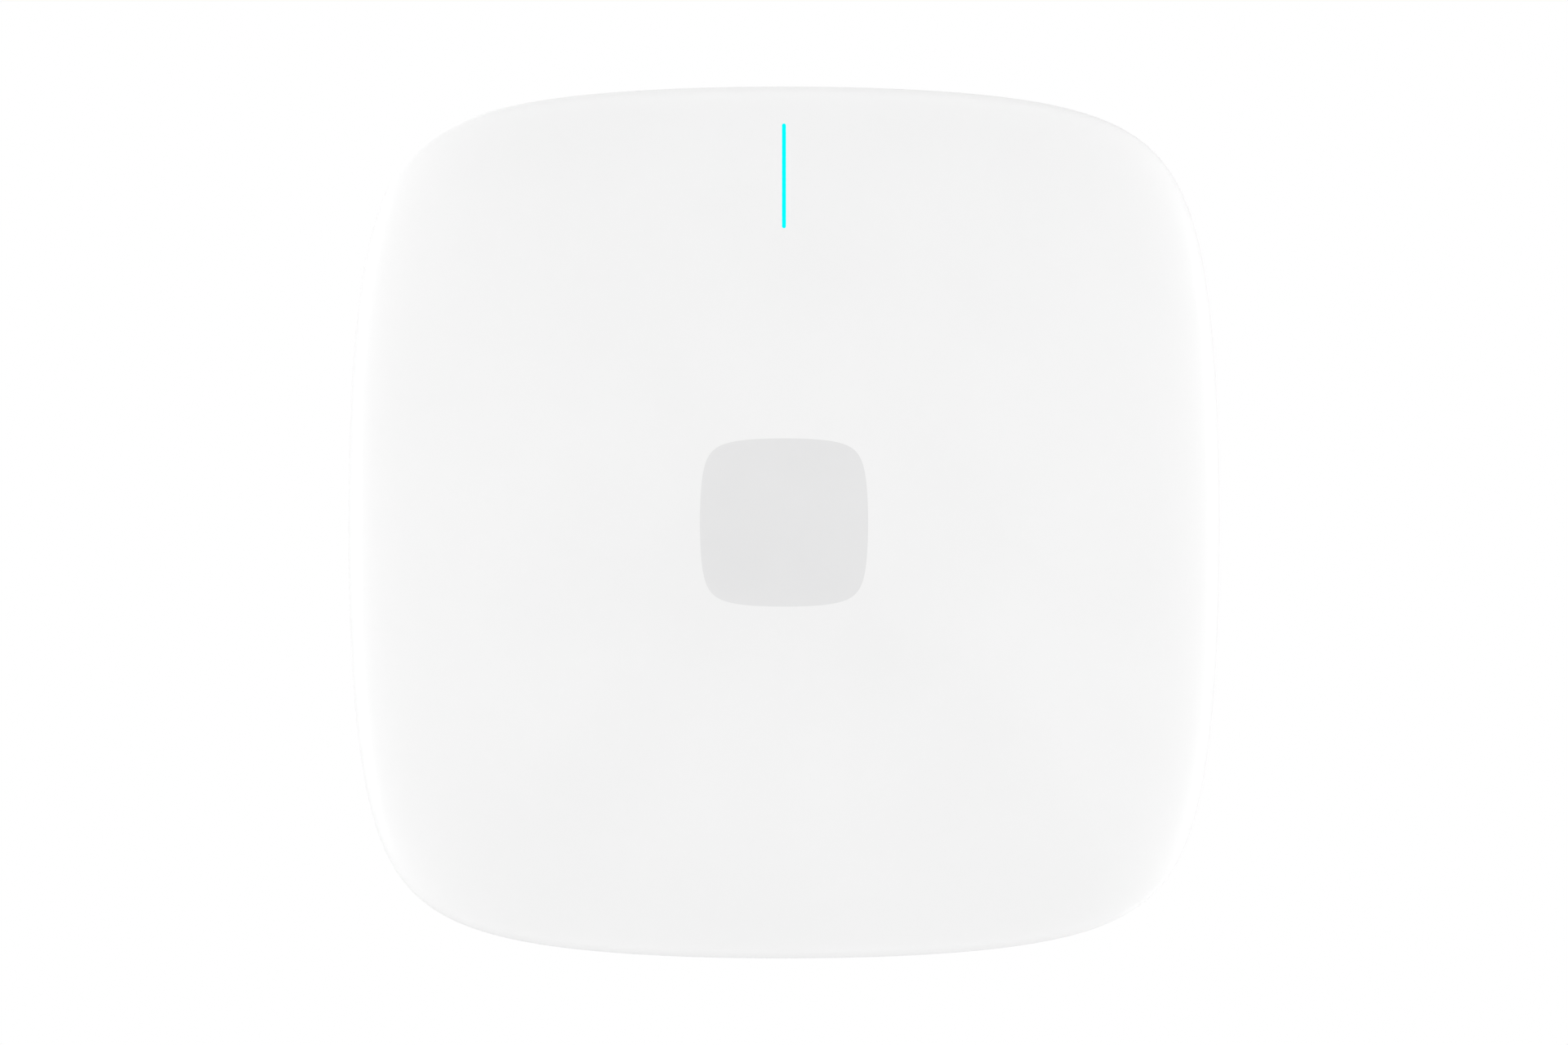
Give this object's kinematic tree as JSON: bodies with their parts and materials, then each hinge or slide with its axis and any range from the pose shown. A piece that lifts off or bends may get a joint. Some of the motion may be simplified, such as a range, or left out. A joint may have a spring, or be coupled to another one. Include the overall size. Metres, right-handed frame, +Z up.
{
  "type": "ceiling access point",
  "caption": "Square-round domed ceiling access point with a thin light bar, rear cable bay and a twist-on steel mounting plate with rail jaws and latch.",
  "frame": {"origin": "middle of the ceiling contact plane, on the twist axis of the mounting plate", "axes": "+Z up into the ceiling, the domed face looks down (-Z), +Y towards the cable bay, the light bar is on the -Y side"},
  "size_m": [0.215, 0.215, 0.046],
  "materials": {
    "cover_plastic": "fine satin moulded texture, white",
    "housing_plastic": "satin moulded texture, slightly greyer white",
    "light": "glowing cyan light pipe",
    "plate_steel": "zinc-plated pressed sheet",
    "spring_steel": "satin spring steel",
    "screw_steel": "nickel-plated steel",
    "cast_aluminium": "sand-blasted die casting",
    "tin_plate": "tinned sheet",
    "board_green": "solder resist on glass board",
    "chip_black": "moulded epoxy",
    "port_black": "moulded black plastic",
    "gold": "gold-plated contact",
    "rubber_grey": "soft grey rubber",
    "silicone": "thermal pad",
    "tray_grey": "natural moulded plastic",
    "led_lens": "LED package"
  },
  "bodies": {
    "bracket": {"mounting_plate": "plate_steel", "latch_rivet": "screw_steel"},
    "rail_jaw_right": {"rail_jaw_right": "spring_steel", "rail_jaw_screw_right": "screw_steel"},
    "rail_jaw_left": {"rail_jaw_left": "spring_steel", "rail_jaw_screw_left": "screw_steel"},
    "lock_latch": {"lock_latch": "spring_steel"},
    "access_point": {"front_cover": "cover_plastic", "light_pipe": "light", "status_led_board": "board_green", "status_led_1": "led_lens", "status_led_2": "led_lens", "status_led_3": "led_lens", "rear_housing": "housing_plastic", "cover_screw_1": "screw_steel", "cover_screw_2": "screw_steel", "cover_screw_3": "screw_steel", "cover_screw_4": "screw_steel", "rubber_foot_1": "rubber_grey", "rubber_foot_2": "rubber_grey", "rubber_foot_3": "rubber_grey", "rubber_foot_4": "rubber_grey", "heat_sink": "cast_aluminium", "mounting_stud_1": "screw_steel", "mounting_stud_2": "screw_steel", "mounting_stud_3": "screw_steel", "mounting_stud_4": "screw_steel", "main_board": "board_green", "shield_can_1": "tin_plate", "shield_can_2": "tin_plate", "shield_can_3": "tin_plate", "processor": "chip_black", "thermal_pad": "silicone", "poe_transformer": "chip_black", "board_screw_1": "screw_steel", "board_screw_2": "screw_steel", "board_screw_3": "screw_steel", "board_screw_4": "screw_steel", "antenna_tray": "tray_grey", "antenna_5g_1": "tin_plate", "antenna_5g_2": "tin_plate", "antenna_5g_3": "tin_plate", "antenna_5g_4": "tin_plate", "antenna_2g_1": "tin_plate", "antenna_2g_2": "tin_plate", "antenna_2g_3": "tin_plate", "antenna_2g_4": "tin_plate", "scan_antenna": "tin_plate", "ethernet_jack_1": "tin_plate", "ethernet_jack_2": "tin_plate", "jack_contacts_1": "gold", "jack_contacts_2": "gold", "usb_port": "tin_plate", "usb_tongue": "port_black", "power_jack": "port_black", "power_pin": "tin_plate", "reset_switch": "chip_black"},
    "reset_button": {"reset_button": "port_black"}
  },
  "joints": [
    {"name": "twist_mount", "type": "hinge", "parent": "bracket", "child": "access_point", "pos_m": [0, 0, 0], "axis": [0, 0, 1], "range_deg": [0, 15]},
    {"name": "rail_jaw_right_slide", "type": "slide", "parent": "bracket", "child": "rail_jaw_right", "axis": [0, 1, 0], "range_m": [0, 0.009]},
    {"name": "rail_jaw_left_slide", "type": "slide", "parent": "bracket", "child": "rail_jaw_left", "axis": [0, -1, 0], "range_m": [0, 0.009]},
    {"name": "latch_flex", "type": "hinge", "parent": "bracket", "child": "lock_latch", "pos_m": [0, 0.022, -0.0019], "axis": [1, 0, 0], "range_deg": [0, 4], "stiffness_Nm_per_rad": 1.2, "springref_deg": -1.15},
    {"name": "reset_press", "type": "slide", "parent": "access_point", "child": "reset_button", "axis": [0, -1, 0], "range_m": [0, 0.0006], "stiffness_N_per_m": 1200, "springref_m": -0.0002}
  ]
}
